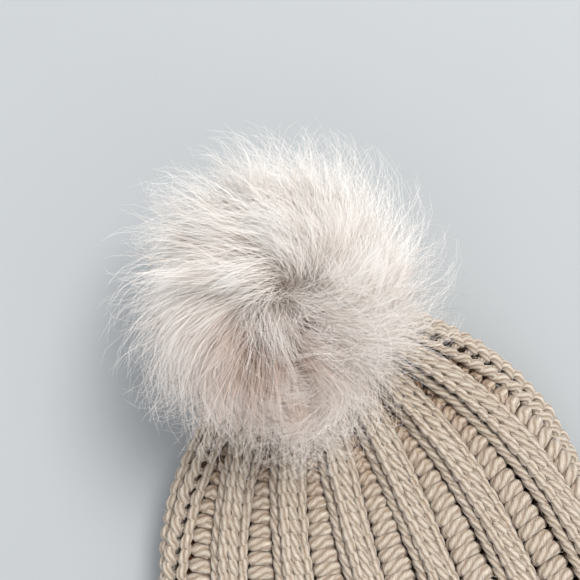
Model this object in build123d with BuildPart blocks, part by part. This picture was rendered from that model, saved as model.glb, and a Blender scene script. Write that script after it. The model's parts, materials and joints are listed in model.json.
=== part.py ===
from build123d import *
from math import cos, pi, sin, sqrt
import os

# A rib-knit beanie with a fur pom on a snap fastener, lying flat on a table. Millimetres.
# +Z is up from the table, +Y runs from the brim to the crown and +X across the hat.
# The origin is on the table, under the middle of the whole object's box.

# Knit
wall = 8.0
body_length = 231.0
section_power = 3.2
section_points = 28
hollow_start = 10.0

# Turned-up cuff
cuff_height = 60.0
cuff_gap = 0.15
lip = 8.0
overrun = 1.0
table_flat = 0.6

# Pom: its ball, and how it leans from the point where it is fastened
pom_radius = 56.0
pom_lean_x = -10.5
pom_lean_y = 10.5
pom_rise = 37.2
pom_base = 5.0
pom_foot = 20.0
pom_flare = 28.0
snap_from_tip = 13.0
snap_height = 32.0

# Pom core, a closed pouch of pelt round a ball of filling
pelt_radius = 26.0
pelt_neck = 12.5
pelt_flare = 2.0
pelt_centre = 36.0
leather = 1.2
recess_radius = 17.0
soft_gap = 0.3

# Crown, in levels along the snap's axis from the outer face of the knit
crown_depth = 9.5
gather_hole = 7.4
gather_radius = 5.6
gather_yarn_radius = 1.5
gather_levels = [-2.9, -6.3]
felt = 1.4
washer_radius = 9.5
washer_room = 6.0
patch_radius = 11.0
patch_room = 4.0

# Snap fastener
post_radius = 1.9
post_hole = 2.0
post_cap_radius = 8.0
post_cap_edge = 0.35
plate = 0.8
stud_foot_radius = 6.3
stud_foot_edge = 0.3
stud_neck_radius = 2.7
stud_neck_top = 3.0
bulb_radius = 3.3
bulb_low = 3.6
bulb_high = 4.2
stud_end_radius = 2.6
stud_end = 4.9
stud_bore_top = 4.3
rivet_radius = 1.65
rivet_hole = 1.7
socket_radius = 7.0
socket_mouth = 3.8
socket_top = 6.4
socket_flange = 0.6
barrel_radius = 5.5
barrel_top = 5.5
barrel_end_radius = 5.0
barrel_end = 2.7
barrel_edge = 0.3
socket_roof = 5.4
spring_wire = 0.42
spring_radius = 3.80
spring_level = 3.35
spring_arc = 325
running_gap = 0.05
disc_radius = 11.0
disc_thickness = 1.4
cap_radius = 7.5
drawstring_radius = 10.5
drawstring_wire = 0.5

# Care label, sewn inside the brim
label_width = 26.0
label_length = 34.0
label_thickness = 0.8
label_from_brim = 14.0
label_clearance = 0.15
stitch_count = 7
stitch_length = 2.4
stitch_radius = 0.25
stitch_spacing = 3.4
label_corner = 1.0

# Body sections: distance from the crown tip, half width, half thickness, lift off the table
body_stations = [
    (0.6, 8.0, 4.5, 10.5),
    (2.5, 14.0, 9.0, 6.5),
    (6.5, 20.0, 13.0, 3.0),
    (13.0, 26.5, 16.0, 0.7),
    (21.0, 34.5, 16.5, 0.0),
    (31.0, 45.5, 16.3, 0.0),
    (38.0, 53.0, 16.1, 0.1),
    (46.0, 60.0, 16.0, 0.2),
    (56.0, 67.0, 15.9, 0.6),
    (66.0, 73.0, 15.8, 1.0),
    (80.0, 79.5, 15.6, 1.9),
    (96.0, 85.0, 15.5, 3.0),
    (128.0, 91.5, 15.5, 5.6),
    (148.0, 93.5, 15.5, 7.3),
    (166.0, 94.5, 15.5, wall + cuff_gap),
    (195.0, 94.0, 15.5, wall + cuff_gap),
    (body_length - lip, 93.0, 15.5, wall + cuff_gap),
]
hollow_tip = (hollow_start, 15.5 + wall, 11.5 + wall, 2.2 - wall)

# Cuff sections: distance from the brim, and how far the outside is drawn in there.
# The table flattens the underside.
cuff_stations = [(0.0, 4.6), (1.6, 2.2), (4.5, 0.5), (9.0, 0.0), (36.0, 0.0), (57.0, 0.4), (60.0, 2.6)]

length_over_all = body_length - snap_from_tip + pom_lean_y + pom_radius
brim_y = -length_over_all / 2
tip_y = brim_y + body_length
snap_point = Vector(0, tip_y - snap_from_tip, snap_height)
lean = Vector(pom_lean_x, pom_lean_y, pom_rise)
snap_plane = Plane(origin=snap_point, x_dir=(0, -1, 0), z_dir=lean.normalized())
across_axis = snap_plane.x_dir
profile_plane = Plane(origin=snap_point, x_dir=across_axis, z_dir=across_axis.cross(snap_plane.z_dir))
snap_axis = Axis(snap_point, snap_plane.z_dir)
brim_station = body_stations[-1]


def oval(half_width, half_thickness):
    """Points round a flattened, square-shouldered tube, which is how knitting lies."""
    points = []
    for i in range(section_points):
        angle = 2 * pi * i / section_points
        across = abs(cos(angle)) ** (2 / section_power)
        up = abs(sin(angle)) ** (2 / section_power)
        x = half_width * (across if cos(angle) > 0 else -across)
        z = half_thickness * (up if sin(angle) > 0 else -up)
        points.append((x, z))
    return points


def section(station, shrink):
    """A closed section of the hat as a face across it, made smaller all round by shrink."""
    distance, half_width, half_thickness, lift = station
    middle = (0, tip_y - distance, lift + half_thickness)
    with BuildSketch(Plane(origin=middle, x_dir=(1, 0, 0), z_dir=(0, -1, 0))) as sketch:
        with BuildLine():
            Spline(*oval(half_width - shrink, half_thickness - shrink), periodic=True)
        make_face()
    return sketch.sketch


def body_at(distance):
    """The body's station at any distance from the tip, between the listed ones."""
    ahead = [s for s in body_stations if s[0] >= distance]
    if not ahead:
        return (distance, *brim_station[1:])
    behind = [s for s in body_stations if s[0] < distance][-1]
    share = (distance - behind[0]) / (ahead[0][0] - behind[0])
    return tuple(b + share * (a - b) for a, b in zip(ahead[0], behind))


def swing(*outline):
    """A face beside the snap axis, from corners given as radius and level."""
    with BuildSketch(profile_plane) as sketch:
        with BuildLine():
            Polyline(*outline, close=True)
        make_face()
    return sketch.sketch


def wire_ring(radius, wire, at_level):
    """The round cross-section of a ring about the snap axis."""
    centre = profile_plane.from_local_coords((radius, at_level, 0))
    with BuildSketch(Plane(origin=centre, x_dir=profile_plane.x_dir, z_dir=profile_plane.z_dir)) as sketch:
        Circle(wire)
    return sketch.sketch


def round_face(foot, flare, radius, middle, base):
    """A round-topped face beside the snap axis: a flat base, a flared foot, then an arc up to the axis."""
    shoulder_radius = foot + flare
    shoulder = middle - sqrt(radius**2 - shoulder_radius**2)
    with BuildSketch(profile_plane) as sketch:
        with BuildLine():
            Polyline((0, middle + radius), (0, base), (foot, base), (shoulder_radius, shoulder))
            ThreePointArc((shoulder_radius, shoulder), (radius, middle), (0, middle + radius))
        make_face()
    return sketch.sketch


def pouch(shrink):
    """The pom core's face, made smaller all round by shrink."""
    return round_face(pelt_neck - shrink, pelt_flare, pelt_radius - shrink, pelt_centre, socket_top + shrink)


# Knit body: one wall of rib, open at the brim, drawn in at the crown round the post's hole
with BuildPart() as knit_body:
    loft([section(s, 0) for s in body_stations], ruled=True)
    hollow = [s for s in body_stations if s[0] > 2 * hollow_start]
    inside = [hollow_tip, *hollow, body_at(body_length)]
    loft([section(s, wall) for s in inside], ruled=True, mode=Mode.SUBTRACT)
    with BuildSketch(snap_plane):
        Circle(washer_radius + soft_gap)
    extrude(amount=washer_room, mode=Mode.SUBTRACT)
    with BuildSketch(snap_plane.offset(-crown_depth)):
        Circle(patch_radius + soft_gap)
    extrude(amount=-patch_room, mode=Mode.SUBTRACT)
    with BuildSketch(snap_plane):
        Circle(gather_hole)
    extrude(amount=-crown_depth, mode=Mode.SUBTRACT)
knit_body.part.label = "knit_body"

# Turned-up cuff: the same fabric folded out round the brim and up outside the body
with BuildPart() as turned_cuff:
    outside = [(body_at(body_length - d), inset - wall - cuff_gap - table_flat) for d, inset in cuff_stations]
    loft([section(station, shrink) for station, shrink in outside], ruled=True)
    split(bisect_by=Plane.XY, keep=Keep.TOP)
    under_cuff = [s for s in body_stations if s[0] > body_length - cuff_height - lip]
    loft([section(s, -cuff_gap) for s in under_cuff], ruled=True, mode=Mode.SUBTRACT)
    mouth = [body_at(body_length - lip - overrun), body_at(body_length + overrun)]
    loft([section(s, wall) for s in mouth], ruled=True, mode=Mode.SUBTRACT)
turned_cuff.part.label = "turned_cuff"

# Gathering yarn: two turns through the last row of loops, inside the crown's hole
with BuildPart() as gather_yarn:
    for gather_level in gather_levels:
        revolve(wire_ring(gather_radius, gather_yarn_radius, gather_level), axis=snap_axis)
gather_yarn.part.label = "gather_yarn"

# Felt washer on the crown and felt patch inside it
with BuildPart() as crown_washer:
    with BuildSketch(snap_plane):
        Circle(washer_radius)
        Circle(post_hole, mode=Mode.SUBTRACT)
    extrude(amount=felt)
crown_washer.part.label = "crown_washer"

with BuildPart() as inner_patch:
    with BuildSketch(snap_plane.offset(-crown_depth)):
        Circle(patch_radius)
        Circle(post_hole, mode=Mode.SUBTRACT)
    extrude(amount=-felt)
inner_patch.part.label = "inner_patch"

# Snap stud on the crown: a foot, a neck and a bulb, hollow for the post
stud_foot = felt + plate
with BuildPart() as snap_stud:
    revolve(
        swing(
            (post_hole - running_gap, felt),
            (stud_foot_radius, felt),
            (stud_foot_radius, stud_foot - stud_foot_edge),
            (stud_foot_radius - stud_foot_edge, stud_foot),
            (stud_neck_radius, stud_foot),
            (stud_neck_radius, stud_neck_top),
            (bulb_radius, bulb_low),
            (bulb_radius, bulb_high),
            (stud_end_radius, stud_end),
            (0, stud_end),
            (0, stud_bore_top),
            (post_hole - running_gap, stud_bore_top),
        ),
        axis=snap_axis,
    )
snap_stud.part.label = "snap_stud"

# Post cap inside the crown, whose post is closed in the stud
cap_level = -crown_depth - felt
with BuildPart() as post_cap:
    with BuildSketch(snap_plane.offset(cap_level)):
        Circle(post_cap_radius)
    extrude(amount=-plate)
    with BuildSketch(snap_plane.offset(cap_level)):
        Circle(post_radius)
    extrude(amount=stud_bore_top - cap_level - running_gap)
    fillet(post_cap.edges().filter_by(GeomType.CIRCLE).sort_by(snap_axis)[0], post_cap_edge)
post_cap.part.label = "post_cap"

# Ring spring, an open ring of wire that grips the stud's bulb
with BuildPart() as ring_spring:
    revolve(wire_ring(spring_radius, spring_wire, spring_level), axis=snap_axis, revolution_arc=spring_arc)
ring_spring.part.label = "ring_spring"

# Snap socket: a barrel with a groove for the spring and a flange against the pelt
groove = spring_radius + spring_wire + running_gap
groove_low = spring_level - spring_wire - running_gap
groove_high = spring_level + spring_wire + running_gap
with BuildPart() as snap_socket:
    revolve(
        swing(
            (rivet_hole, socket_top),
            (socket_radius, socket_top),
            (socket_radius, socket_top - socket_flange),
            (barrel_radius, barrel_top),
            (barrel_end_radius + barrel_edge, barrel_end + barrel_edge),
            (barrel_end_radius, barrel_end),
            (socket_mouth, barrel_end),
            (socket_mouth, groove_low),
            (groove, groove_low),
            (groove, groove_high),
            (socket_mouth, groove_high),
            (socket_mouth, socket_roof),
            (rivet_hole, socket_roof),
        ),
        axis=snap_axis,
    )
snap_socket.part.label = "snap_socket"

# Pelt: a pouch of hide, gathered closed where the rivet goes through
with BuildPart() as pelt_skin:
    revolve(pouch(0), axis=snap_axis)
    revolve(pouch(leather), axis=snap_axis, mode=Mode.SUBTRACT)
    with BuildSketch(snap_plane.offset(socket_top)):
        Circle(rivet_hole)
    extrude(amount=leather, mode=Mode.SUBTRACT)
pelt_skin.part.label = "pelt_skin"

# Drawstring round the pelt's gathered mouth
with BuildPart() as pelt_drawstring:
    drawstring_level = socket_top - drawstring_wire - running_gap
    revolve(wire_ring(drawstring_radius, drawstring_wire, drawstring_level), axis=snap_axis)
pelt_drawstring.part.label = "pelt_drawstring"

# Backing disc inside the pelt's neck, and the rivet that holds the socket to it
disc_level = socket_top + leather
with BuildPart() as backing_disc:
    with BuildSketch(snap_plane.offset(disc_level)):
        Circle(disc_radius)
        Circle(rivet_hole, mode=Mode.SUBTRACT)
    extrude(amount=disc_thickness)
backing_disc.part.label = "backing_disc"

rivet_level = disc_level + disc_thickness
with BuildPart() as socket_rivet:
    with BuildSketch(snap_plane.offset(rivet_level)):
        Circle(cap_radius)
    extrude(amount=plate)
    with BuildSketch(snap_plane.offset(rivet_level)):
        Circle(rivet_radius)
    extrude(amount=barrel_top - rivet_level)
socket_rivet.part.label = "socket_rivet"

# Filling, with room for the disc and the rivet's head
with BuildPart() as filling:
    revolve(pouch(leather + soft_gap), axis=snap_axis)
    with BuildSketch(snap_plane.offset(rivet_level + soft_gap)):
        Circle(pelt_radius)
    extrude(amount=-2 * disc_thickness, mode=Mode.SUBTRACT)
    with BuildSketch(snap_plane.offset(rivet_level)):
        Circle(cap_radius + soft_gap)
    extrude(amount=plate + soft_gap, mode=Mode.SUBTRACT)
filling.part.label = "filling"

# Fur: the ball that the pile fills, flat where it meets the crown
with BuildPart() as fur_pile:
    revolve(round_face(pom_foot, pom_flare, pom_radius, lean.length, pom_base), axis=snap_axis)
    revolve(pouch(-soft_gap), axis=snap_axis, mode=Mode.SUBTRACT)
    with BuildSketch(snap_plane.offset(pom_base)):
        Circle(recess_radius)
    extrude(amount=socket_top - pom_base + soft_gap, mode=Mode.SUBTRACT)
fur_pile.part.label = "fur_pile"

# Care label, left blank, on the lower layer inside the brim, and the stitches that hold it
label_level = brim_station[3] + wall + label_clearance
label_y = brim_y + label_from_brim
with BuildPart() as care_label:
    with BuildSketch(Plane.XY.offset(label_level)):
        with Locations((0, label_y + label_length / 2)):
            RectangleRounded(label_width, label_length, label_corner)
    extrude(amount=label_thickness)
care_label.part.label = "care_label"

stitch_y = label_y + label_length - stitch_length
with BuildPart() as label_stitches:
    with Locations((0, stitch_y, label_level + label_thickness + stitch_radius)):
        with GridLocations(stitch_spacing, 1, stitch_count, 1):
            Cylinder(stitch_radius, stitch_length, rotation=(0, 90, 0))
label_stitches.part.label = "label_stitches"

pieces = [
    knit_body,
    turned_cuff,
    gather_yarn,
    crown_washer,
    inner_patch,
    snap_stud,
    post_cap,
    ring_spring,
    snap_socket,
    pelt_skin,
    pelt_drawstring,
    backing_disc,
    socket_rivet,
    filling,
    fur_pile,
    care_label,
    label_stitches,
]
os.makedirs("parts", exist_ok=True)
for piece in pieces:
    export_step(piece.part, f"parts/{piece.part.label}.step")
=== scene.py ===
import json
import math

import bpy
import numpy as np
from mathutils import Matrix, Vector


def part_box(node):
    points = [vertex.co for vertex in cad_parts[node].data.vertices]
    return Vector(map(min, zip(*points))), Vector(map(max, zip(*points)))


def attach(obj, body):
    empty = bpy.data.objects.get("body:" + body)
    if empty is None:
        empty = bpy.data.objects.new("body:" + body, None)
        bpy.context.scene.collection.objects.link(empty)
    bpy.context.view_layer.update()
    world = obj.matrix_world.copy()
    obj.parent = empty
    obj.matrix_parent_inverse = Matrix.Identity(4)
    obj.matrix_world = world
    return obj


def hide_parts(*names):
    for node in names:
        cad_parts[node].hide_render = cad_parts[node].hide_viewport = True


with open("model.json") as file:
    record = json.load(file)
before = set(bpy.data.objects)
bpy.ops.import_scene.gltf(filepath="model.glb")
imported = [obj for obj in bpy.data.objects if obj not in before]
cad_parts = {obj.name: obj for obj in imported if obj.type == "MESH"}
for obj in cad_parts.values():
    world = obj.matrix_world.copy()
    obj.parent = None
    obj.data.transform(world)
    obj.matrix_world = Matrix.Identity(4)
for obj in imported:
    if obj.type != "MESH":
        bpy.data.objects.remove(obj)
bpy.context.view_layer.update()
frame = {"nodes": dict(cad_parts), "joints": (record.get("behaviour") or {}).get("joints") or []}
scene = bpy.context.scene
MM = 0.001
KNIT_SEED = 11
FUR_SEED = 5
rng = np.random.default_rng(KNIT_SEED)


# Places from the CAD model
def unit(v):
    """Vectors made one unit long."""
    return v / np.maximum(np.linalg.norm(v, axis=-1, keepdims=True), 1e-12)


def box_corners(name):
    """The low and high corners of a CAD node's box."""
    return [np.array(corner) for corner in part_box(name)]


def ball_in(name):
    """Radius and centre of the ball that touches the top and the sides of a CAD node's box."""
    low, high = box_corners(name)
    radius = (high[0] - low[0]) / 2
    return radius, np.array([(low[0] + high[0]) / 2, high[1] - radius, high[2] - radius])


swivel = {joint["name"]: joint for joint in frame["joints"]}["pom_swivel"]
SNAP = np.array(swivel["pos_m"])
AXIS = unit(np.array(swivel["axis"]))
SIDE = unit(np.cross(AXIS, (0.0, 1.0, 0.0)))
FORE = np.cross(AXIS, SIDE)
TO_CROWN = np.array([0.0, 1.0, 0.0])
POM_R, POM = ball_in("fur_pile")
PELT_R, PELT = ball_in("pelt_skin")
TIP_GAP = 0.6 * MM  # how far the crown tip is past the CAD body's first section
TIP_Y = box_corners("knit_body")[1][1] + TIP_GAP
BRIM_Y, CUFF_TOP = (corner[1] for corner in box_corners("turned_cuff"))
WALL = 8.0 * MM


def level_of(points):
    """How far points are above the snap's foot, along its axis."""
    return (points - SNAP) @ AXIS


def node_levels(name):
    """How far a CAD node's points are above the snap's foot, in millimetres."""
    return level_of(np.array([v.co for v in frame["nodes"][name].data.vertices])) / MM


def on_axis(radius, angle, level):
    """Points round the snap axis."""
    r, a, z = np.broadcast_arrays(radius, angle, level)
    return (
        SNAP
        + (r * np.cos(a))[..., None] * SIDE
        + (r * np.sin(a))[..., None] * FORE
        + z[..., None] * AXIS
    )


# Mesh helpers
def mesh_piece(name, points, quads, material, body, uv=None, depth=None):
    """A mesh object from points and four-corner faces.

    uv has a pair for each face corner, and depth has a value for each point: how much painted shade the
    yarn takes there.
    """
    points = np.asarray(points, np.float32).reshape(-1, 3)
    quads = np.asarray(quads, np.int32).reshape(-1, 4)
    mesh = bpy.data.meshes.new(name)
    mesh.vertices.add(len(points))
    mesh.vertices.foreach_set("co", points.ravel())
    mesh.loops.add(quads.size)
    mesh.loops.foreach_set("vertex_index", quads.ravel())
    mesh.polygons.add(len(quads))
    mesh.polygons.foreach_set("loop_start", np.arange(0, quads.size, 4, dtype=np.int32))
    mesh.polygons.foreach_set("use_smooth", np.ones(len(quads), bool))
    if uv is not None:
        layer = mesh.uv_layers.new(name="yarn")
        layer.uv.foreach_set("vector", np.asarray(uv, np.float32).ravel())
    if depth is not None:
        # The depth attribute carries painted shade: the yarn is coloured darker the deeper it lies
        attribute = mesh.attributes.new("depth", "FLOAT", "POINT")
        attribute.data.foreach_set("value", np.asarray(depth, np.float32).ravel())
    mesh.update(calc_edges=True)
    mesh.validate()
    piece = bpy.data.objects.new(name, mesh)
    scene.collection.objects.link(piece)
    mesh.materials.append(material)
    if body:
        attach(piece, body)
    return piece


def grid_quads(rows, columns, wrap_rows=False, wrap_columns=False):
    """Corner numbers of the faces of a grid of points, which may close on itself either way."""
    i = np.arange(rows if wrap_rows else rows - 1)
    j = np.arange(columns if wrap_columns else columns - 1)
    i, j = np.meshgrid(i, j, indexing="ij")
    row, next_row = i * columns, (i + 1) % rows * columns
    next_j = (j + 1) % columns
    return np.stack([row + j, row + next_j, next_row + next_j, next_row + j], -1).reshape(-1, 4)


def spokes(first, second, sides):
    """Directions round a path, from two directions across it."""
    turn = np.arange(sides) * 2 * math.pi / sides
    return first[..., None, :] * np.cos(turn)[:, None] + second[..., None, :] * np.sin(turn)[:, None]


def tube(path, across, radius, sides, closed):
    """Rings of points round a path. across is a direction that each ring starts from."""
    if closed:
        along = np.roll(path, -1, 0) - np.roll(path, 1, 0)
    else:
        along = np.gradient(path, axis=0)
    along = unit(along)
    first = unit(across - (across * along).sum(-1, keepdims=True) * along)
    ring = spokes(first, np.cross(along, first), sides)
    return path[:, None] + ring * np.broadcast_to(radius, len(path))[:, None, None]


def tube_uv(path, sides, closed):
    """Coordinates of a tube's face corners: millimetres along it, and turns round it."""
    step = np.linalg.norm(np.roll(path, -1, 0) - path, axis=-1) / MM
    start = np.concatenate([[0], np.cumsum(step)])
    count = len(path) if closed else len(path) - 1
    i, j = np.meshgrid(np.arange(count), np.arange(sides), indexing="ij")
    a, b = start[i], start[i + 1]
    v0, v1 = j / sides, (j + 1) / sides
    corners = [(a, v0), (a, v1), (b, v1), (b, v0)]
    return np.stack([np.stack(c, -1) for c in corners], 2).reshape(-1, 2)


STRAND_SIDES = 3


def strands(name, paths, root_radius, tip_radius, tone, material, body):
    """Thin tapered tubes along many short paths at once. paths is strands by points by 3."""
    count, steps = paths.shape[:2]
    along = unit(np.gradient(paths, axis=1))
    steep = np.abs(along[..., 2:3]) >= 0.8
    helper = np.where(steep, np.array([1.0, 0.0, 0.0]), np.array([0.0, 0.0, 1.0]))
    first = unit(np.cross(along, helper))
    ring = spokes(first, np.cross(along, first), STRAND_SIDES)
    share = np.linspace(0, 1, steps)
    taper = tip_radius + (1 - share**1.6) * (root_radius[:, None] - tip_radius)
    points = paths[:, :, None] + ring * taper[..., None, None]
    one = grid_quads(steps, STRAND_SIDES, False, True)
    faces = one[None] + (np.arange(count) * steps * STRAND_SIDES)[:, None, None]
    rows = np.repeat(np.arange(steps - 1), STRAND_SIDES)
    v = np.stack([share[rows], share[rows], share[rows + 1], share[rows + 1]], -1)
    v = np.broadcast_to(v, (count, *v.shape))
    u = np.broadcast_to(tone[:, None, None], v.shape)
    return mesh_piece(name, points, faces, material, body, np.stack([u, v], -1))


# Materials
def new_material(name, colour, roughness):
    """A material, with its node tree and its shader."""
    mat = bpy.data.materials.new(name)
    mat.use_nodes = True
    shader = mat.node_tree.nodes["Principled BSDF"]
    shader.inputs["Base Color"].default_value = (*colour, 1)
    shader.inputs["Roughness"].default_value = roughness
    return mat, mat.node_tree, shader


def node(tree, kind, **values):
    """A shader node with the values of its properties and inputs."""
    made = tree.nodes.new(kind)
    for key, value in values.items():
        if hasattr(made, key):
            setattr(made, key, value)
        else:
            made.inputs[key].default_value = value
    return made


def texture(tree, kind, place, **values):
    """A texture's value over the given coordinates."""
    made = node(tree, kind, **values)
    tree.links.new(place, made.inputs["Vector"])
    return made.outputs["Fac"]


def own_place(tree):
    """A piece's coordinates in metres."""
    return node(tree, "ShaderNodeTexCoord").outputs["Object"]


def yarn_place(tree):
    """A yarn's distance along and turns round, or a hair's tone and share of its length."""
    place = node(tree, "ShaderNodeUVMap", uv_map="yarn")
    split = node(tree, "ShaderNodeSeparateXYZ")
    tree.links.new(place.outputs["UV"], split.inputs[0])
    return split.outputs[0], split.outputs[1]


def maths(tree, operation, a, b=None, c=None):
    """The result of one operation on numbers or node outputs."""
    made = tree.nodes.new("ShaderNodeMath")
    made.operation = operation
    for socket, value in zip(made.inputs, (a, b, c)):
        if isinstance(value, (int, float)):
            socket.default_value = value
        elif value is not None:
            tree.links.new(value, socket)
    return made.outputs[0]


def ramp(tree, factor, *stops):
    """A colour ramp with stops of a place and a colour."""
    made = tree.nodes.new("ShaderNodeValToRGB")
    tree.links.new(factor, made.inputs["Fac"])
    points = made.color_ramp.elements
    while len(points) < len(stops):
        points.new(0.5)
    for point, (place, colour) in zip(points, stops):
        point.position = place
        point.color = (*colour, 1)
    return made.outputs["Color"]


def mixed(tree, factor, a, b, blend="MIX"):
    """Two colours mixed or multiplied."""
    made = tree.nodes.new("ShaderNodeMix")
    made.data_type = "RGBA"
    made.blend_type = blend
    for socket, value in ((made.inputs[0], factor), (made.inputs[6], a), (made.inputs[7], b)):
        if isinstance(value, (int, float)):
            socket.default_value = value
        else:
            tree.links.new(value, socket)
    return made.outputs[2]


def bump(tree, shader, height, strength, distance):
    """Fine relief on a shader's surface."""
    made = node(tree, "ShaderNodeBump", Strength=strength, Distance=distance)
    tree.links.new(height, made.inputs["Height"])
    tree.links.new(made.outputs["Normal"], shader.inputs["Normal"])


WHITE = (1.0, 1.0, 1.0)
WORN_TINT = (0.93, 0.90, 0.86)
# Colours of the painted shade on yarn that lies deep between the ribs
HALF_PAINTED_SHADE = (0.74, 0.54, 0.39)
DEEPEST_PAINTED_SHADE = (0.62, 0.28, 0.12)
FIBRE_PACE = 0.10  # steps of the fibres' noise in a millimetre along the yarn
FIBRES_ROUND = 9.0  # its steps in a turn round the yarn
FIBRE_SLANT = 0.9  # how many of those steps the fibres slant by in a millimetre


def yarn_material(name, dark, middle, light, plies, lay, roughness=0.85):
    """Plied wool with painted shade: darker in the grooves between its plies, and darker and warmer the
    deeper it lies between the ribs. lay is the length of one turn, in millimetres.
    """
    mat, tree, shader = new_material(name, middle, roughness)
    along, around = yarn_place(tree)
    advance = maths(tree, "MULTIPLY", along, 2 * math.pi / lay)
    turn = maths(tree, "MULTIPLY_ADD", around, plies * 2 * math.pi, advance)
    ply = maths(tree, "ABSOLUTE", maths(tree, "SINE", maths(tree, "MULTIPLY", turn, 0.5)))
    slant = maths(tree, "MULTIPLY", along, FIBRE_SLANT)
    twist = node(tree, "ShaderNodeCombineXYZ")
    tree.links.new(maths(tree, "MULTIPLY", along, FIBRE_PACE), twist.inputs[0])
    tree.links.new(maths(tree, "MULTIPLY_ADD", around, FIBRES_ROUND, slant), twist.inputs[1])
    fibres = texture(tree, "ShaderNodeTexNoise", twist.outputs[0], Scale=3.4, Detail=4.0, Roughness=0.65)
    patches = texture(tree, "ShaderNodeTexNoise", own_place(tree), Scale=55.0, Detail=2.0, Roughness=0.5)
    # Random fibre tone, and painted shade in the grooves between the plies
    fibre_tone_and_ply_shade = maths(tree, "MULTIPLY_ADD", fibres, 0.70, maths(tree, "MULTIPLY", ply, 0.21))
    colour = ramp(tree, fibre_tone_and_ply_shade, (0.20, dark), (0.44, middle), (0.70, light))
    tint = ramp(tree, patches, (0.32, WORN_TINT), (0.66, WHITE))
    # Random worn patches over the fibre tone and the painted ply shade
    worn_with_ply_shade = mixed(tree, 0.6, colour, tint, "MULTIPLY")
    # Painted shade: yarn that lies deeper below the cloth's middle is coloured darker and warmer brown
    depth = node(tree, "ShaderNodeAttribute", attribute_name="depth").outputs["Fac"]
    painted_shade = ramp(tree, depth, (0.0, WHITE), (0.5, HALF_PAINTED_SHADE), (1.0, DEEPEST_PAINTED_SHADE))
    tree.links.new(mixed(tree, 1.0, worn_with_ply_shade, painted_shade, "MULTIPLY"), shader.inputs["Base Color"])
    bump(tree, shader, maths(tree, "MULTIPLY_ADD", fibres, 0.9, ply), 1.0, 0.36 * MM)
    shader.inputs["Sheen Weight"].default_value = 0.25
    shader.inputs["Sheen Roughness"].default_value = 0.5
    shader.inputs["Specular IOR Level"].default_value = 0.22
    return mat


def fur_material(name, brown, cream):
    """Long hair. Its tone changes from root to tip, and from the brown strands to the cream ones."""
    mat, tree, shader = new_material(name, cream[1], 0.5)
    strand, along = yarn_place(tree)
    tones = []
    for root, shaft, tip in (brown, cream):
        tones.append(ramp(tree, along, (0.10, root), (0.50, shaft), (0.95, tip)))
    tree.links.new(mixed(tree, strand, *tones), shader.inputs["Base Color"])
    shader.inputs["Specular IOR Level"].default_value = 0.4
    shader.inputs["Sheen Weight"].default_value = 0.5
    shader.inputs["Sheen Roughness"].default_value = 0.4
    return mat


def soft_material(name, dark, light, scale, depth, roughness=0.9):
    """Felt, hide or wadding: mottled, with a fine nap."""
    mat, tree, shader = new_material(name, light, roughness)
    place = own_place(tree)
    cloud = texture(tree, "ShaderNodeTexNoise", place, Scale=scale, Detail=6.0, Roughness=0.65)
    nap = texture(tree, "ShaderNodeTexNoise", place, Scale=scale * 9, Detail=3.0, Roughness=0.6)
    tree.links.new(ramp(tree, cloud, (0.3, dark), (0.7, light)), shader.inputs["Base Color"])
    bump(tree, shader, maths(tree, "MULTIPLY_ADD", nap, 0.6, cloud), 0.7, depth)
    shader.inputs["Sheen Weight"].default_value = 0.3
    return mat


def hard_material(name, dark, light, metallic, low, high, scale):
    """Metal or plastic with small marks, so that its gloss isn't even."""
    mat, tree, shader = new_material(name, light, low)
    marks = texture(tree, "ShaderNodeTexNoise", own_place(tree), Scale=scale, Detail=5.0, Roughness=0.6)
    tree.links.new(ramp(tree, marks, (0.3, dark), (0.6, light)), shader.inputs["Base Color"])
    gloss = node(tree, "ShaderNodeMapRange")
    gloss.inputs["To Min"].default_value = low
    gloss.inputs["To Max"].default_value = high
    tree.links.new(marks, gloss.inputs["Value"])
    tree.links.new(gloss.outputs["Result"], shader.inputs["Roughness"])
    shader.inputs["Metallic"].default_value = metallic
    bump(tree, shader, marks, 0.15, 0.08 * MM)
    return mat


def satin_material(name):
    """Woven label ribbon: fine ridges over a faint mottle."""
    mat, tree, shader = new_material(name, (0.90, 0.89, 0.86), 0.42)
    place = own_place(tree)
    weave = texture(tree, "ShaderNodeTexWave", place, Scale=1500.0, Distortion=0.4, Detail=1.0)
    mottle = texture(tree, "ShaderNodeTexNoise", place, Scale=240.0, Detail=3.0)
    colour = ramp(tree, mottle, (0.3, (0.84, 0.83, 0.79)), (0.7, (0.92, 0.91, 0.89)))
    tree.links.new(colour, shader.inputs["Base Color"])
    bump(tree, shader, weave, 0.25, 0.04 * MM)
    return mat


def table_material(name):
    """A pale painted surface with very faint clouds."""
    mat, tree, shader = new_material(name, (0.39, 0.41, 0.425), 0.8)
    clouds = texture(tree, "ShaderNodeTexNoise", own_place(tree), Scale=3.0, Detail=4.0)
    colour = ramp(tree, clouds, (0.3, (0.375, 0.395, 0.41)), (0.7, (0.40, 0.42, 0.435)))
    tree.links.new(colour, shader.inputs["Base Color"])
    return mat


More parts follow.
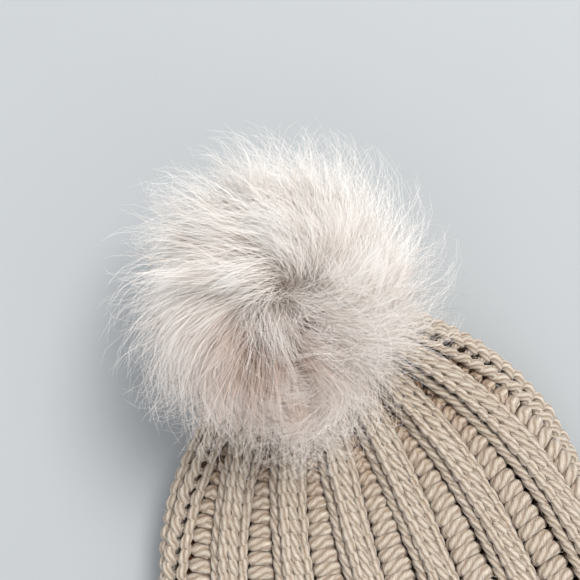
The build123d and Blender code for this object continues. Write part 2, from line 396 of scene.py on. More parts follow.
wool = yarn_material(
    "wool", (0.17, 0.10, 0.06), (0.37, 0.30, 0.235), (0.76, 0.69, 0.60), plies=5, lay=5.0
)
thread = yarn_material(
    "sewing_thread",
    (0.62, 0.55, 0.43),
    (0.86, 0.81, 0.70),
    (0.93, 0.90, 0.82),
    plies=2,
    lay=1.4,
    roughness=0.6,
)
fuzz_wool = soft_material("wool_fuzz", (0.80, 0.74, 0.60), (0.92, 0.88, 0.78), 90.0, 0.04 * MM)
fur = fur_material(
    "long_fur",
    brown=((0.36, 0.21, 0.14), (0.62, 0.45, 0.36), (0.93, 0.86, 0.81)),
    cream=((0.86, 0.77, 0.68), (0.95, 0.92, 0.88), (0.955, 0.945, 0.93)),
)
felt = soft_material("wool_felt", (0.58, 0.53, 0.43), (0.74, 0.69, 0.58), 700.0, 0.12 * MM)
hide = soft_material("pelt_hide", (0.60, 0.51, 0.43), (0.78, 0.70, 0.61), 260.0, 0.1 * MM, 0.75)
wadding = soft_material("polyester_wadding", (0.78, 0.77, 0.75), (0.92, 0.92, 0.91), 180.0, 0.5 * MM)
nickel = hard_material("nickel", (0.50, 0.49, 0.46), (0.70, 0.69, 0.66), 1.0, 0.16, 0.34, 900.0)
steel = hard_material("spring_steel", (0.46, 0.46, 0.47), (0.66, 0.66, 0.67), 1.0, 0.24, 0.42, 1400.0)
plastic = hard_material("white_plastic", (0.78, 0.77, 0.73), (0.87, 0.86, 0.83), 0.0, 0.38, 0.55, 600.0)
satin = satin_material("label_satin")

for name, material in {
    "snap_stud": nickel,
    "post_cap": nickel,
    "snap_socket": nickel,
    "socket_rivet": nickel,
    "ring_spring": steel,
    "backing_disc": plastic,
}.items():
    shown = frame["nodes"][name]
    shown.data.materials.clear()
    shown.data.materials.append(material)

# The fabric's middle surface, measured on the CAD body
SECTION_POWER = 3.2
TIP_SINK = 0.5 * WALL
FABRIC_HALF = 0.5 * WALL
LENGTH = TIP_Y - BRIM_Y
SHAPE_STEPS = 401
TURN_STEPS = 720
SMOOTHING = 9  # steps
LAST_CELL = 1.001  # keeps a place inside a table's last cell


def cad_sections(name, distances):
    """Half width, half thickness and middle height of a CAD node at distances from the crown tip."""
    mesh = frame["nodes"][name].data
    points = np.empty(len(mesh.vertices) * 3)
    mesh.vertices.foreach_get("co", points)
    points = points.reshape(-1, 3)
    edges = np.empty(len(mesh.edges) * 2, int)
    mesh.edges.foreach_get("vertices", edges)
    a, b = points[edges.reshape(-1, 2)].transpose(1, 0, 2)
    found = []
    for distance in distances:
        cut = TIP_Y - distance
        crossing = (a[:, 1] - cut) * (b[:, 1] - cut) < 0
        p, q = a[crossing], b[crossing]
        share = (cut - p[:, 1]) / (q[:, 1] - p[:, 1])
        hit = p + share[:, None] * (q - p)
        low, high = hit.min(0), hit.max(0)
        found.append(((high[0] - low[0]) / 2, (high[2] - low[2]) / 2, (high[2] + low[2]) / 2))
    return np.array(found)


def smoothed(values, odd):
    """values with their kinks rounded. An odd function changes sign through its start."""
    pad = 3 * SMOOTHING
    before = values[pad:0:-1] * (-1 if odd else 1)
    padded = np.concatenate([before, values, np.full(pad, values[-1])])
    weights = np.exp(-0.5 * (np.arange(-pad, pad + 1) / SMOOTHING) ** 2)
    return np.convolve(padded, weights / weights.sum(), "valid")


def rounded_power(wave):
    """A sine or cosine reshaped, so that the section is a rectangle with round corners."""
    return np.sign(wave) * np.abs(wave) ** (2 / SECTION_POWER)


# Sections are measured more closely near the crown, where the outline curves
probe = np.concatenate([np.linspace(6.5, 46, 24), np.linspace(50, 222, 44)]) * MM
measured = cad_sections("knit_body", probe)
polar = np.linspace(0, math.pi / 2, SHAPE_STEPS)
distance = TIP_SINK + (LENGTH - TIP_SINK) * (1 - np.cos(polar))
closing = np.sqrt(np.clip((distance - TIP_SINK) / (probe[0] - TIP_SINK), 0, 1))
half_width = smoothed(np.interp(distance, probe, measured[:, 0] - FABRIC_HALF) * closing, True)
half_thick = smoothed(np.interp(distance, probe, measured[:, 1] - FABRIC_HALF) * closing, True)
middle_z = smoothed(np.interp(distance, probe, measured[:, 2]), False)

# Points at even steps round each section
fine = np.linspace(0, 2 * math.pi, 4 * TURN_STEPS + 1)
even = np.linspace(0, 1, TURN_STEPS + 1)
table_x = np.zeros((SHAPE_STEPS, TURN_STEPS + 1))
table_z = np.zeros((SHAPE_STEPS, TURN_STEPS + 1))
for i in range(SHAPE_STEPS):
    x = max(half_width[i], 1e-6) * rounded_power(np.cos(fine))
    z = max(half_thick[i], 1e-6) * rounded_power(np.sin(fine))
    run = np.concatenate([[0], np.cumsum(np.hypot(np.diff(x), np.diff(z)))])
    run /= run[-1]
    table_x[i] = np.interp(even, run, x)
    table_z[i] = np.interp(even, run, z)


def between(table, row, column, columns):
    """Values between a table's rows and columns. Its columns close on themselves."""
    row = np.clip(row, 0, len(table) - LAST_CELL)
    i, j = np.floor(row).astype(int), np.floor(column).astype(int) % columns
    next_j = (j + 1) % columns
    down, right = row - i, column - np.floor(column)
    if table.ndim == 3:
        down, right = down[..., None], right[..., None]
    upper = table[i, j] * (1 - right) + table[i, next_j] * right
    lower = table[i + 1, j] * (1 - right) + table[i + 1, next_j] * right
    return upper * (1 - down) + lower * down


def surface_point(angle_from_tip, turn):
    """The fabric's middle surface. Equal turns are equal lengths of the section's outline."""
    row = angle_from_tip / (math.pi / 2) * (SHAPE_STEPS - 1)
    column = np.mod(turn / (2 * math.pi), 1.0) * TURN_STEPS
    x, z = (between(table, row, column, TURN_STEPS) for table in (table_x, table_z))
    y = TIP_Y - np.interp(angle_from_tip, polar, distance)
    return np.stack([x, y, np.interp(angle_from_tip, polar, middle_z) + z], -1)


def outward(angle_from_tip, turn, step=0.004):
    """Which way the section faces, across the hat."""
    ahead = surface_point(angle_from_tip, turn + step) - surface_point(angle_from_tip, turn - step)
    return unit(np.stack([ahead[..., 2], np.zeros_like(ahead[..., 0]), -ahead[..., 0]], -1))


# Courses and wales: lines run from the snap down the body to the brim, and the cuff's rows follow them back
REPEATS = 14
WALES = 3 * REPEATS
BODY_COURSES = 41
CUFF_COURSES = 12
COURSES = BODY_COURSES + CUFF_COURSES
FINE_COURSE = 6
FINE_WALE = 6
LINE_STEPS = 601
GATHER_RADIUS = 6.2 * MM
RIB_PHASE = math.radians(-6.4)
RIB_SHIFT = math.radians(-12.9)  # a further turn, full at the +X side and none at the other
FOLD_RADIUS = FABRIC_HALF + 0.08 * MM
CUFF_EDGE = 2.2 * MM  # the cast-on loops reach this far past the last row

fold_y = BRIM_Y + FABRIC_HALF + FOLD_RADIUS
pole_tilt = math.acos(1 - (TIP_Y - SNAP[1] - TIP_SINK) / (LENGTH - TIP_SINK))
last_angle = float(np.interp(TIP_Y - fold_y, distance, polar))

meridians = WALES * FINE_WALE
around = np.arange(meridians) * 2 * math.pi / meridians
around = around + RIB_PHASE + RIB_SHIFT * (1 + np.cos(around)) / 2
pole_angle, pole_turn = np.meshgrid(np.linspace(0, last_angle, LINE_STEPS), around, indexing="ij")
tilt = pole_tilt * np.cos(pole_angle) ** 2
vx, vz = np.sin(pole_angle) * np.cos(pole_turn), np.sin(pole_angle) * np.sin(pole_turn)
vy = np.cos(pole_angle)
vy, vz = vy * np.cos(tilt) - vz * np.sin(tilt), vy * np.sin(tilt) + vz * np.cos(tilt)
lines = surface_point(np.arccos(np.clip(vy, -1, 1)), np.arctan2(vz, vx))
line_step = np.linalg.norm(np.diff(lines, axis=0), axis=-1)
reach = np.concatenate([np.zeros((1, meridians)), np.cumsum(line_step, 0)])
body_rows = BODY_COURSES * FINE_COURSE + 1
share = np.linspace(0, 1, body_rows)
body_grid = np.empty((body_rows, meridians, 3))
for j in range(meridians):
    wanted = GATHER_RADIUS + share * (reach[-1, j] - GATHER_RADIUS)
    for k in range(3):
        body_grid[:, j, k] = np.interp(wanted, reach[:, j], lines[:, j, k])

cuff_rows = CUFF_COURSES * FINE_COURSE
fold_run = math.pi * FOLD_RADIUS
cuff_run = CUFF_TOP - CUFF_EDGE - fold_y
brim_turn = np.arctan2(vz[-1], vx[-1])
brim_out = outward(np.full(meridians, last_angle), brim_turn)
cuff_grid = np.empty((cuff_rows, meridians, 3))
for i, run in enumerate(np.arange(1, cuff_rows + 1) / cuff_rows * (fold_run + cuff_run)):
    if run < fold_run:
        bend = run / FOLD_RADIUS
        past_brim = (1 - math.cos(bend)) * brim_out - math.sin(bend) * TO_CROWN
        cuff_grid[i] = body_grid[-1] + FOLD_RADIUS * past_brim
    else:
        from_tip = TIP_Y - (fold_y + run - fold_run)
        angle = np.full(meridians, np.interp(from_tip, distance, polar))
        cuff_grid[i] = surface_point(angle, brim_turn) + 2 * FOLD_RADIUS * outward(angle, brim_turn)

cloth = np.concatenate([body_grid, cuff_grid])
wale_step = np.roll(cloth, -1, 1) - np.roll(cloth, 1, 1)
facing = unit(np.cross(wale_step, np.gradient(cloth, axis=0)))
repeat_width = np.linalg.norm(wale_step, axis=-1) / 2 * 3 * FINE_WALE


def sample(values, course, wale):
    """Values of the cloth's grid at any course and wale."""
    return between(values, course * FINE_COURSE, np.mod(wale, WALES) * FINE_WALE, meridians)


# The yarn: each course is one closed length of yarn in K2 P1 rib
STITCH_POINTS = 20
YARN_SIDES = 8
YARN_RADIUS = 1.84 * MM
KNIT_WALE = 6.7 * MM  # a knit wale keeps this width, and the purl wale takes what is left of a repeat
KNIT_SHARES = (0.25, 0.42)
PURL_BLEND = 0.36  # wales over which knit changes to purl
LOOP_LEAN, PURL_LEAN = 0.16, 0.20
LOOP_HEIGHT, PURL_HEIGHT = 0.77, 0.54
LOOP_DEPTH = 1.9 * MM
PURL_SINK = 1.9 * MM
HEAD_START, HEAD_SPAN = 0.15, 0.6
KNIT_SWELL, PURL_SWELL = 0.20, 0.60
CREST = 3.6 * MM
RELAXED_REPEAT = 25.0 * MM  # narrower repeats fold deeper
VALLEY_GROWTH, VALLEY_LIMIT = 9.0 * MM, 4.2 * MM
CUFF_FLATTENING = 0.50
FLATTER_FROM, FLATTER_COURSES = 26, 9
FULL_REPEAT = 20.0 * MM  # narrower repeats have smaller loops and thinner yarn
NARROWEST = 0.12
CREST_GAIN = 1.3
SMALLEST_LOOP, THINNEST_YARN = 0.45, 0.42
SIDE_JITTER, TALL_JITTER, GIRTH_JITTER = 0.02, 0.035, 0.035
LIFT_JITTER = 0.10 * MM
TABLE_GAP, TABLE_SOFTNESS = 2.2 * MM, 0.4 * MM

phase = np.arange(WALES * STITCH_POINTS) * 2 * math.pi / STITCH_POINTS
stitch = phase / (2 * math.pi)
wander = rng.normal(0, 1, (COURSES + 1, WALES, 4))


def smooth_step(x):
    """From 0 to 1 with a soft start and end."""
    x = np.clip(x, 0, 1)
    return x * x * (3 - 2 * x)


def from_to(start, end, share):
    """A value part of the way from start to end."""
    return start + share * (end - start)


def purl_share(at):
    """0 in two knit wales and 1 in the purl wale after them."""
    place = np.mod(at + 0.5, 3)
    purl = smooth_step((place - 2) / PURL_BLEND + 0.5) * smooth_step((3 - place) / PURL_BLEND + 0.5)
    return np.maximum(purl, smooth_step(0.5 - place / PURL_BLEND))


def rib_rise(row, part, width):
    """How far the rib carries its yarn outward. part runs from 0 to 1 over a repeat."""
    swing = np.cos(2 * math.pi * (part - 1 / 3))
    flatter = 1 - CUFF_FLATTENING * smooth_step((row - FLATTER_FROM) / FLATTER_COURSES)
    squeeze = np.clip(1 - width / RELAXED_REPEAT, 0, 1)
    return CREST * flatter * swing - np.minimum(VALLEY_GROWTH * squeeze, VALLEY_LIMIT) * (1 - swing) / 2


def course_path(course):
    """Centreline, facing, radius and height over the cloth of one course of stitches."""
    number = np.floor(stitch + 0.5).astype(int) % WALES
    side_jitter, tall_jitter, lift_jitter, girth_jitter = wander[course, number].T
    purl = purl_share(stitch)
    lean = from_to(LOOP_LEAN, PURL_LEAN, purl)
    at = stitch + lean * np.sin(2 * phase) + SIDE_JITTER * side_jitter
    up = np.cos(phase)
    flat_up = 1.5 * up - 0.5 * up**3
    tall = from_to(LOOP_HEIGHT, PURL_HEIGHT, purl) * (1 + TALL_JITTER * tall_jitter)
    row = course + 0.5 - tall * from_to(up, flat_up, purl)

    width = sample(repeat_width, row, at)
    knit_share = np.clip(KNIT_WALE / width, *KNIT_SHARES)
    repeat, part = np.divmod((at + 0.5) / 3, 1.0)
    knit_place = 1 / 3 + (part - 1 / 3) * 3 * knit_share
    purl_place = 5 / 6 + (part - 5 / 6) * 3 * (1 - 2 * knit_share)
    wale = (repeat + np.where(part < 2 / 3, knit_place, purl_place)) * 3

    narrow = np.clip(width / FULL_REPEAT, NARROWEST, 1)
    head = smooth_step((up - HEAD_START) / HEAD_SPAN) * purl
    front = head * LOOP_DEPTH - (1 - head) * (LOOP_DEPTH + PURL_SINK)
    loop = purl * front - (1 - purl) * np.cos(2 * phase) * LOOP_DEPTH
    height = rib_rise(row, part, width) * np.clip(narrow * CREST_GAIN, 0, 1)
    height = height + loop * from_to(SMALLEST_LOOP, 1, narrow) + LIFT_JITTER * lift_jitter
    face = unit(sample(facing, row, wale))
    path = sample(cloth, row, wale) + height[:, None] * face
    over_table = np.logaddexp(0, (path[:, 2] - TABLE_GAP) / TABLE_SOFTNESS)
    path[:, 2] = TABLE_GAP + over_table * TABLE_SOFTNESS
    bulge = 1 + PURL_SWELL * head - KNIT_SWELL * (1 - purl) * np.cos(2 * phase)
    radius = YARN_RADIUS * bulge * from_to(THINNEST_YARN, 1, narrow) * (1 + GIRTH_JITTER * girth_jitter)
    return path, face, radius, height


def rounded(values):
    """values evened out a little with their neighbours round the course."""
    return (np.roll(values, 1, 0) + 2 * values + np.roll(values, -1, 0)) / 4


COURSES_PER_PIECE = 9
PAINTED_SHADE_RANGE = 7.5 * MM  # the painted shade is darkest on yarn this far below the cloth's middle
FOLDED_FROM = BODY_COURSES - 2  # from this course on, the fabric's other side shows, so the painted shade is measured from that side
FUZZ_PER_COURSE = 560
ring_points = WALES * STITCH_POINTS
one_ring = grid_quads(ring_points, YARN_SIDES, True, True)
fuzz_roots, fuzz_out, fuzz_along = [], [], []
knit_pieces = []
for first in range(0, COURSES, COURSES_PER_PIECE):
    points, faces, coordinates, painted_shade_depths = [], [], [], []
    for k, course in enumerate(range(first, min(first + COURSES_PER_PIECE, COURSES))):
        path, face, radius, height = course_path(course)
        path = rounded(path)
        radius = rounded(rounded(radius))
        rings = tube(path, face, radius, YARN_SIDES, True)
        # Painted shade: the farther a yarn surface lies below the cloth's middle, the darker it is coloured
        under = -height[:, None] - ((rings - path[:, None]) * face[:, None]).sum(-1)
        under = -under if course >= FOLDED_FROM else under
        painted_shade_depths.append(np.clip(under / PAINTED_SHADE_RANGE, 0, 1))
        points.append(rings.reshape(-1, 3))
        faces.append(one_ring + k * ring_points * YARN_SIDES)
        coordinates.append(tube_uv(path, YARN_SIDES, True))
        pick = rng.integers(0, ring_points, FUZZ_PER_COURSE)
        turn = rng.integers(0, YARN_SIDES, FUZZ_PER_COURSE)
        fuzz_roots.append(rings[pick, turn])
        fuzz_out.append(unit(rings[pick, turn] - path[pick]))
        fuzz_along.append(unit(np.roll(path, -1, 0) - path)[pick])
    name = "rib_knit_%d" % (len(knit_pieces) + 1)
    points, faces, coordinates, painted_shade_depths = (np.concatenate(x) for x in (points, faces, coordinates, painted_shade_depths))
    knit_pieces.append(mesh_piece(name, points, faces, wool, "hat", coordinates, painted_shade_depths))
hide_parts("knit_body")
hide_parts("turned_cuff")

# Loose fibres that stand off the yarn. Under the pom they stay below its lowest hairs
FUZZ_PIECES = 3
FUZZ_POINTS = 4
FUZZ_REACH, FUZZ_DRIFT = (0.4, 1.6), (0.8, 2.8)
FUZZ_RADIUS, FUZZ_TIP_RADIUS = 0.040 * MM, 0.015 * MM
FUZZ_TOP = 3.9 * MM  # above the snap's foot
FUZZ_LOWEST = 0.1 * MM  # above the table
roots, away, run = (np.concatenate(x) for x in (fuzz_roots, fuzz_out, fuzz_along))
count = len(roots)
reach_out = rng.uniform(*FUZZ_REACH, count)[:, None] * MM
wave = run * rng.uniform(-1, 1, (count, 1)) + rng.normal(0, 0.5, (count, 3))
drift = wave * rng.uniform(*FUZZ_DRIFT, (count, 1)) * MM
share = np.linspace(0, 1, FUZZ_POINTS)[None, :, None]
arch = share * (1.6 - 0.9 * share)
hairs = roots[:, None] + away[:, None] * reach_out[:, None] * arch + drift[:, None] * share**1.3
hairs = hairs - np.clip(level_of(hairs) - FUZZ_TOP, 0, None)[..., None] * AXIS
hairs[..., 2] = np.maximum(hairs[..., 2], FUZZ_LOWEST)
for k, pick in enumerate(np.array_split(np.arange(count), FUZZ_PIECES)):
    name = "wool_fuzz_%d" % (k + 1)
    radius = np.full(len(pick), FUZZ_RADIUS)
    tone = rng.random(len(pick))
    strands(name, hairs[pick], radius, FUZZ_TIP_RADIUS, tone, fuzz_wool, "hat")

# Fur: hairs grow from the pelt and lean together in clumps, combed away from a whorl and a parting
rng = np.random.default_rng(FUR_SEED)
WHORL = unit(np.array([0.13, -0.04, 0.99]))
PARTING = unit(np.array([-0.46, -0.56, 0.69]))
PARTING_WIDTH = 0.45
PARTING_SHADOW = np.array([-0.10, -0.08, -0.15])  # moves the brown patch, partly brown roots and partly painted shade, up from the parting
SUNNY_SIDE = np.array([0.5, 0.6, 0.3])  # hairs that grow this way, toward the key light, are paler: painted light
WEIGHT = np.array([0, 0, 0.16])
HAIRS = 58000
SPARE = 1.06  # more hairs are drawn than kept, as none grow from the neck
BARE_NECK = -0.86
HAIRS_PER_PIECE = 6500
HAIR_POINTS = 6
HAIR_TIP_RADIUS = 0.022 * MM
ROOT_DEPTH = 0.4 * MM
CLUMPS = 700
CLUMP_REACH = (0.73, 0.85)  # shares of the pom's radius
CLUMP_SHARE = (0.80, 1.0)  # how far up their clump its hairs end
CLUMP_SPREAD, CLUMP_LEAN = 0.42, (0.75, 1.35)
HAIR_SPREAD, HAIR_LEAN = 0.30, (0.7, 1.3)
LOYALTY = (0.25, 0.92)  # how closely a hair follows its clump
ROOT_SCATTER, TIP_SCATTER = 0.035, 0.025
SWIRL, PARTED, DRIFT = 0.25, 0.7, 0.60
LEAN, WHORL_LEAN, PARTING_LEAN = 0.26, 0.28, 0.10
# Other kinds: the first and last share of all hairs that they take up, and their shortest and longest reach
OTHER_HAIRS = {
    "guard": (0.88, 1.0, 0.82, 0.97),
    "stray": (0.972, 1.0, 0.98, 1.15),
    "undercoat": (0.0, 0.16, 0.62, 0.80),
}
LONGER_BELOW, BELOW = 0.12, 0.6  # hairs that point down toward the crown are longer
BASE_LEVEL = 4.7 * MM  # the lowest hairs, which keep clear of the knit when the pom turns
BASE_SCATTER = 6.0 * MM
DROOP, DROOP_FROM, DROOP_SPAN = 0.5 * MM, 22.0 * MM, 24.0 * MM
NEAREST_BATCH = 5000


def directions(count):
    """Random directions."""
    return unit(rng.normal(0, 1, (count, 3)))


WAVES, WAVE_PACE = 9, 3.2
waves = rng.normal(0, 1, (WAVES, 3)) * WAVE_PACE
wave_phase = rng.uniform(0, 2 * math.pi, WAVES)
wave_out = rng.normal(0, 1, (WAVES, 3))


def drift_field(d):
    """A slow, smooth change of direction over the ball."""
    return (np.sin(d @ waves.T + wave_phase)[..., None] * wave_out).sum(-2) / math.sqrt(WAVES)


def angle_from(d, pole):
    """The angle between directions and a pole."""
    return np.arccos(np.clip(d @ pole, -1, 1))


def near_parting(d):
    """1 at the parting, falling to 0 away from it."""
    return np.exp(-((angle_from(unit(d), PARTING) / PARTING_WIDTH) ** 2))


def laid(d, spread, strength):
    """Where a hair that leaves the ball at d ends up: combed away from the whorl, with some swirl."""
    out = d - WHORL * (d @ WHORL)[:, None]
    swirl = np.cross(WHORL, d)
    apart = unit(d - PARTING * (d @ PARTING)[:, None]) * near_parting(d)[:, None]
    lay = out + SWIRL * swirl + PARTED * apart + DRIFT * drift_field(d) + spread - WEIGHT
    lay = unit(lay - d * (lay * d).sum(-1, keepdims=True))
    from_whorl = np.clip(np.sin(2 * angle_from(d, WHORL)), 0, 1)
    angle = strength * (LEAN + WHORL_LEAN * from_whorl + PARTING_LEAN * near_parting(d))
    return unit(d * np.cos(angle)[:, None] + lay * np.sin(angle)[:, None])


clump_dir = directions(CLUMPS)
clump_spread = rng.normal(0, CLUMP_SPREAD, (CLUMPS, 3))
clump_tip = laid(clump_dir, clump_spread, rng.uniform(*CLUMP_LEAN, CLUMPS))
clump_reach = rng.uniform(*CLUMP_REACH, CLUMPS)
clump_tone = rng.random(CLUMPS)

start = directions(int(HAIRS * SPARE))
start = start[start @ AXIS > BARE_NECK][:HAIRS]
count = len(start)
nearest = np.empty(count, int)
for k in range(0, count, NEAREST_BATCH):
    batch = start[k : k + NEAREST_BATCH]
    scattered = batch + rng.normal(0, ROOT_SCATTER, batch.shape)
    nearest[k : k + NEAREST_BATCH] = (scattered @ clump_dir.T).argmax(1)
root = PELT + start * (PELT_R - ROOT_DEPTH)
root_dir = unit(root - POM)
root_reach = np.linalg.norm(root - POM, axis=-1)
hair_spread = rng.normal(0, HAIR_SPREAD, (count, 3))
own_tip = laid(root_dir, hair_spread, rng.uniform(*HAIR_LEAN, count))
loyal = rng.uniform(*LOYALTY, count)[:, None]
tip_dir = own_tip * (1 - loyal) + clump_tip[nearest] * loyal
tip_dir = unit(tip_dir + rng.normal(0, TIP_SCATTER, (count, 3)))
kind = rng.random(count)
tip_reach = POM_R * clump_reach[nearest] * rng.uniform(*CLUMP_SHARE, count)
for first, last, shortest, longest in OTHER_HAIRS.values():
    own_reach = POM_R * rng.uniform(shortest, longest, count)
    tip_reach = np.where((kind >= first) & (kind < last), own_reach, tip_reach)
tip_reach = tip_reach * (1 + LONGER_BELOW * np.clip(-tip_dir @ AXIS, 0, BELOW) / BELOW)

# Each hair bends from the way it grows to the way it is combed, with a slight kink
BEND_POWER, LIFT_POWERS = 1.35, (1.35, 1.9)
KINK, KINK_WAVES = 0.55 * MM, 1.3
share = np.linspace(0, 1, HAIR_POINTS)
bend = (share**BEND_POWER)[None, :, None]
heading = unit(root_dir[:, None] * (1 - bend) + tip_dir[:, None] * bend)
lift = 1 - (1 - share) ** rng.uniform(*LIFT_POWERS, (count, 1))
distance_out = root_reach[:, None] + (tip_reach - root_reach)[:, None] * lift
kink = rng.normal(0, KINK, (count, 1, 3)) * np.sin(share * KINK_WAVES * 2 * math.pi)[None, :, None]
paths = POM + heading * distance_out[..., None] + kink * share[None, :, None]

# The crown holds the lowest hairs up, a little less near the pom's rim
level = level_of(paths)
spread_out = np.linalg.norm(paths - SNAP - level[..., None] * AXIS, axis=-1)
droop = DROOP * np.clip((spread_out - DROOP_FROM) / DROOP_SPAN, 0, 1)
floor_level = BASE_LEVEL + BASE_SCATTER * rng.random((count, 1)) ** 2 - droop
paths = paths + np.clip(floor_level - level, 0, None)[..., None] * AXIS

# Tone: 0 is brown and 1 is cream
HAIR_RADIUS = (0.058, 0.105)
BASE_TONE, CLUMP_TONE, HAIR_TONE = 0.30, 0.40, 0.30
PARTING_BROWN_AND_SHADE, SUNNY_CREAM = 1.15, 0.18
thick = rng.uniform(*HAIR_RADIUS, count) * MM
tone = BASE_TONE + CLUMP_TONE * clump_tone[nearest] + HAIR_TONE * rng.random(count)
# Brown roots and painted shade: hairs near the parting, on the side away from the key light, are browner
tone = tone - PARTING_BROWN_AND_SHADE * near_parting(start + PARTING_SHADOW)
# Painted light: hairs on the side toward the key light are paler cream
tone = np.clip(tone + SUNNY_CREAM * (start @ SUNNY_SIDE), 0, 1)
order = rng.permutation(count)
fur_pieces = []
for begin in range(0, count, HAIRS_PER_PIECE):
    pick = order[begin : begin + HAIRS_PER_PIECE]
    name = "fur_%d" % (len(fur_pieces) + 1)
    piece = strands(name, paths[pick], thick[pick], HAIR_TIP_RADIUS, tone[pick], fur, "pom")
    fur_pieces.append(piece)
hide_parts("fur_pile")


# Turned soft parts round the snap. Their radii and levels are in millimetres
def lathe(name, outline, segments, material, body, bulge):
    """A closed piece turned from (radius, level) corners. bulge gives its small changes in both."""
    radii, levels = (np.asarray(outline, float) * MM).T
    turn = np.arange(segments) * 2 * math.pi / segments
    r, a, z = np.broadcast_arrays(radii[:, None], turn, levels[:, None])
    dr, dz = bulge(r, a, z)
    faces = grid_quads(len(outline), segments, True, True)
    return mesh_piece(name, on_axis(r + dr, a, z + dz), faces, material, body)


def pill(inner, outer, low, high, corner, steps=4, longest_edge=0.8):
    """The outline of a flat ring with rounded edges."""
    made = []
    for cr, cz, begin in (
        (outer - corner, high - corner, 0.0),
        (inner + corner, high - corner, 90.0),
        (inner + corner, low + corner, 180.0),
        (outer - corner, low + corner, 270.0),
    ):
        for k in range(steps + 1):
            angle = math.radians(begin + 90.0 * k / steps)
            made.append((cr + corner * math.cos(angle), cz + corner * math.sin(angle)))
    dense = []
    for (r0, z0), (r1, z1) in zip(made, made[1:] + made[:1]):
        count = max(1, int(abs(r1 - r0) / longest_edge))
        for k in range(count):
            dense.append((r0 + (r1 - r0) * k / count, z0 + (z1 - z0) * k / count))
    return dense


FELT_HOLE = 2.0
FELT_CORNER = 0.45
FELT_SEGMENTS = 120
FELT_EVEN = 4.0 * MM


def felt_bulge(r, a, z):
    """Uneven felt, fuller in some places, and even close to the snap."""
    lump = np.sin(5 * a + r * 900) * np.cos(3 * a - r * 1400) + 0.6 * np.sin(17 * a + r * 2600)
    return 0.10 * MM * lump * (r > FELT_EVEN), 0.05 * MM * lump


for name, outer in (("crown_washer", 9.4), ("inner_patch", 10.9)):
    levels = node_levels(name)
    outline = pill(FELT_HOLE, outer, levels.min(), levels.max(), FELT_CORNER)
    ring = lathe("felt_" + name, outline, FELT_SEGMENTS, felt, "hat", felt_bulge)
    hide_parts(name)

STRING_SIDES = 10
STRING_STEPS = 96
STRING_TURN = 0.985  # the ends stay a little apart


def turned_tube(name, node_name, radius, wire, levels, loosen, material, body):
    """One length of yarn round the snap axis, a turn at each level, with its ends side by side."""
    turns = len(levels)
    share = np.linspace(0, 1, STRING_STEPS * turns)
    angle = share * turns * 2 * math.pi * STRING_TURN
    height = np.interp(share * turns, np.arange(turns) + 0.5, levels)
    r = radius + loosen * np.sin(angle * 5.0) + loosen * 0.6 * np.sin(angle * 11.0)
    path = on_axis(r * MM, angle, height * MM)
    rings = tube(path, np.broadcast_to(AXIS, path.shape), wire * MM, STRING_SIDES, False)
    faces = grid_quads(len(path), STRING_SIDES, False, True)
    piece = mesh_piece(name, rings, faces, material, body, tube_uv(path, STRING_SIDES, False))
    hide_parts(node_name)


string_level = node_levels("pelt_drawstring").mean()
turned_tube("gathering_yarn", "gather_yarn", 5.6, 1.45, [-2.9, -6.3], 0.10, wool, "hat")
turned_tube("drawstring", "pelt_drawstring", 10.5, 0.45, [string_level], 0.05, thread, "pom")

# Pelt: a pouch of hide, puckered where the drawstring closes it
POUCH_LEVEL = 36.0  # its ball's centre
NECK_RADIUS, NECK_LEVEL, NECK_HOLE = 12.5, 6.4, 1.75
NECK_FLARE = 2.0
HIDE_THICKNESS = 1.1
POUCH_STEPS, POUCH_SEGMENTS = 40, 160
POLE_GAP = 0.02  # a round outline stops this far from its pole, in radians


def pelt_outline(shrink):
    """The pouch's outer or inner outline, from its neck up over the top."""
    foot, base = NECK_RADIUS - shrink, NECK_LEVEL + shrink
    radius = PELT_R / MM - shrink
    neck_angle = -math.acos((foot + NECK_FLARE) / radius)
    outline = [(r, base) for r in (NECK_HOLE, 5.0, 8.5, foot)]
    for t in np.linspace(neck_angle, math.pi / 2 - POLE_GAP, POUCH_STEPS):
        outline.append((radius * math.cos(t), POUCH_LEVEL + radius * math.sin(t)))
    return outline


def pucker(r, a, z):
    """Gathers near the neck, and a slightly uneven ball above."""
    near_neck = np.clip((17 * MM - z) / (11 * MM), 0, 1) * (r > 6 * MM)
    pleat = np.sin(26 * a + 1.2 * np.sin(3 * a))
    lump = np.sin(3 * a + z * 160) * np.sin(2 * a - z * 120)
    return -0.18 * MM * near_neck * (1 - pleat) - 0.12 * MM * (1 + lump) * (r > 13 * MM), 0


pouch_line = pelt_outline(0.0) + pelt_outline(HIDE_THICKNESS)[::-1]
pelt = lathe("pelt_pouch", pouch_line, POUCH_SEGMENTS, hide, "pom", pucker)
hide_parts("pelt_skin")

# Filling: a stuffed ball of polyester wadding inside the pelt, flat over the disc
BALL_TURNS, BALL_ROWS = 72, 48
BALL_GAP = 1.9 * MM
BALL_LUMP = 0.35 * MM
BALL_FLOOR = 10.4 * MM
t = np.linspace(POLE_GAP, math.pi - POLE_GAP, BALL_ROWS)[:, None]
a = np.linspace(0, 2 * math.pi, BALL_TURNS, endpoint=False)[None]
lumps = np.sin(4 * a + 3 * t) * np.sin(5 * t) + 0.5 * np.sin(9 * a - 7 * t) * np.sin(t)
ball_radius = PELT_R - BALL_GAP + BALL_LUMP * lumps
ball_level = POUCH_LEVEL * MM + ball_radius * np.cos(t)
ball_level = np.maximum(ball_level, BALL_FLOOR + 0.2 * MM * (lumps + 1.5))
ball_points = on_axis(ball_radius * np.sin(t), a, ball_level)
ball_faces = grid_quads(BALL_ROWS, BALL_TURNS, False, True)
ball = mesh_piece("stuffing", ball_points, ball_faces, wadding, "pom")
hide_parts("filling")

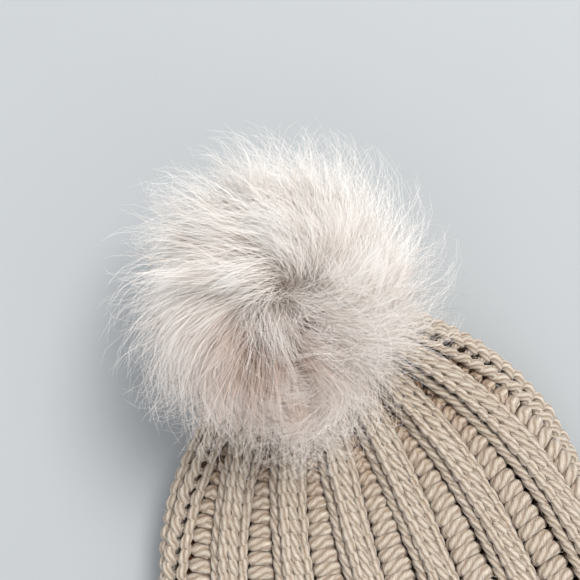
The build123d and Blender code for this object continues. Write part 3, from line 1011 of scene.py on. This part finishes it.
# Care label: a blank satin strip, sewn inside the brim, with its free end lifted a little
LABEL_ROWS, LABEL_COLUMNS = 44, 34
LABEL_HALF = 0.07 * MM
LABEL_LIFT = 0.75 * MM
LABEL_RIPPLE, LABEL_CURL = 0.35 * MM, 0.9 * MM
CURLED_SHARE = 0.35
label_low, label_high = box_corners("care_label")
v, u = np.meshgrid(np.linspace(0, 1, LABEL_ROWS), np.linspace(0, 1, LABEL_COLUMNS), indexing="ij")
ripple = LABEL_RIPPLE * (1 - v) * np.sin(u * 5.2 + 0.6)
curl = LABEL_CURL * np.clip(CURLED_SHARE - v, 0, 1) ** 1.5
label_x = label_low[0] + (label_high[0] - label_low[0]) * u
label_y = label_low[1] + (label_high[1] - label_low[1]) * v
label_z = label_low[2] + LABEL_LIFT + ripple + curl
both_sides = [np.stack([label_x, label_y, label_z + side * LABEL_HALF], -1) for side in (1, -1)]
top_count = LABEL_ROWS * LABEL_COLUMNS
top_faces = grid_quads(LABEL_ROWS, LABEL_COLUMNS)
index = np.arange(top_count).reshape(LABEL_ROWS, LABEL_COLUMNS)
rim = np.concatenate([index[0, :], index[1:, -1], index[-1, -2::-1], index[-2:0:-1, 0]])
rim_faces = np.stack([rim, rim + top_count, np.roll(rim, -1) + top_count, np.roll(rim, -1)], -1)
label_faces = np.concatenate([top_faces, top_faces[:, ::-1] + top_count, rim_faces])
label = mesh_piece("satin_label", np.stack(both_sides), label_faces, satin, "hat")
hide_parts("care_label")

# Its stitches: short bars of thread that dip into the label at both ends
STITCHES = 7
STITCH_STEPS = 13
STITCH_SIDES = 8
STITCH_RADIUS = 0.26 * MM
STITCH_HALF = 1.35 * MM
STITCH_MARGIN = 1.2 * MM
STITCH_LIFT, STITCH_DIP = 0.32 * MM, 0.75 * MM
stitch_low, stitch_high = box_corners("label_stitches")
share = np.linspace(-1, 1, STITCH_STEPS)
stitch_y = np.full(STITCH_STEPS, (stitch_low[1] + stitch_high[1]) / 2)
stitch_z = label_z.max() + STITCH_LIFT - STITCH_DIP * share**4
points, faces, coordinates = [], [], []
for k, x in enumerate(np.linspace(stitch_low[0] + STITCH_MARGIN, stitch_high[0] - STITCH_MARGIN, STITCHES)):
    path = np.stack([x + STITCH_HALF * share, stitch_y, stitch_z], -1)
    rings = tube(path, np.broadcast_to(TO_CROWN, path.shape), STITCH_RADIUS, STITCH_SIDES, False)
    points.append(rings.reshape(-1, 3))
    faces.append(grid_quads(STITCH_STEPS, STITCH_SIDES, False, True) + k * STITCH_STEPS * STITCH_SIDES)
    coordinates.append(tube_uv(path, STITCH_SIDES, False))
points, faces, coordinates = (np.concatenate(x) for x in (points, faces, coordinates))
sewn = mesh_piece("label_thread", points, faces, thread, "hat", coordinates)
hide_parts("label_stitches")

# Table
TABLE_HALF = 2.5
span = TABLE_HALF * np.array([[-1, -1, 0], [1, -1, 0], [1, 1, 0], [-1, 1, 0]])
table = mesh_piece("table_top", span, [[0, 1, 2, 3]], table_material("pale_table"), None)

# Camera: straight above the hat, turned so that the hat lies as in the photo
VIEW_TURN = math.radians(17)
CAMERA_AT = (-0.0050, 0.0880, 0.480)
camera = bpy.data.cameras.new("camera")
camera.sensor_width = 36
camera.lens = 72.9
camera_object = bpy.data.objects.new("camera", camera)
scene.collection.objects.link(camera_object)
camera_object.location = CAMERA_AT
camera_object.rotation_euler = (0, 0, -VIEW_TURN)
scene.camera = camera_object


def area_light(name, place, target, size, power, colour):
    """A round lamp turned toward a point."""
    light = bpy.data.lights.new(name, "AREA")
    light.shape = "DISK"
    light.size = size
    light.energy = power
    light.color = colour
    lamp = bpy.data.objects.new(name, light)
    scene.collection.objects.link(lamp)
    lamp.location = place
    lamp.rotation_euler = (Vector(target) - Vector(place)).to_track_quat("-Z", "Y").to_euler()


area_light("key", (0.85, 0.60, 1.95), (0.0, 0.03, 0.03), 0.90, 45.0, (1.0, 0.975, 0.94))
area_light("fill", (-0.8, -0.5, 0.9), (0.0, 0.0, 0.03), 0.9, 0.6, (0.96, 0.97, 1.0))
scene.world = bpy.data.worlds.new("studio")
scene.world.use_nodes = True
background = scene.world.node_tree.nodes["Background"]
background.inputs["Color"].default_value = (0.96, 0.98, 1.0, 1)
background.inputs["Strength"].default_value = 0.86
scene.view_settings.view_transform = "Standard"
scene.cycles.max_bounces = 20
scene.cycles.diffuse_bounces = 20
